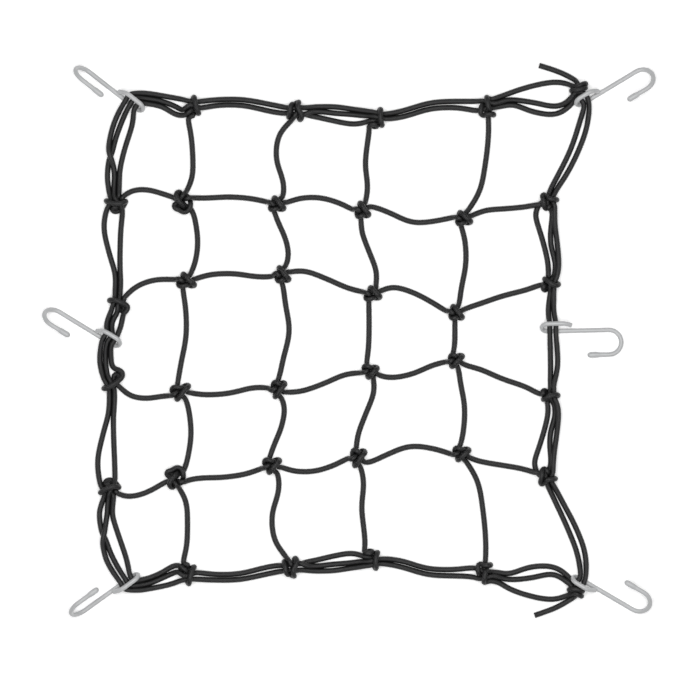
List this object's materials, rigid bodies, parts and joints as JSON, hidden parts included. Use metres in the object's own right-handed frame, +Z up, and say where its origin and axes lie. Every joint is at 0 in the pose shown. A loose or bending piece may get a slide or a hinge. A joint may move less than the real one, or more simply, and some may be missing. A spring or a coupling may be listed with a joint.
{
  "type": "elastic cargo net with hooks",
  "caption": "Square elastic cargo net of knotted braided cord, lying flat, with bent wire hooks at its corners and at the middle of its sides, for holding luggage down.",
  "frame": {"origin": "on the surface, under the middle of the whole outline of net and hooks", "axes": "+Z up from the surface the net lies on, +X to the right and +Y to the top of the net as seen from above"},
  "size_m": [0.5016, 0.4568, 0.0228],
  "materials": {
    "cord": "near-black braided elastic cord",
    "wire": "semi-gloss light grey coating on steel wire"
  },
  "bodies": {
    "root": {"net": "cord", "hook_top_left": "wire", "hook_top_right": "wire", "hook_mid_left": "wire", "hook_mid_right": "wire", "hook_bottom_left": "wire", "hook_bottom_right": "wire"}
  },
  "joints": []
}
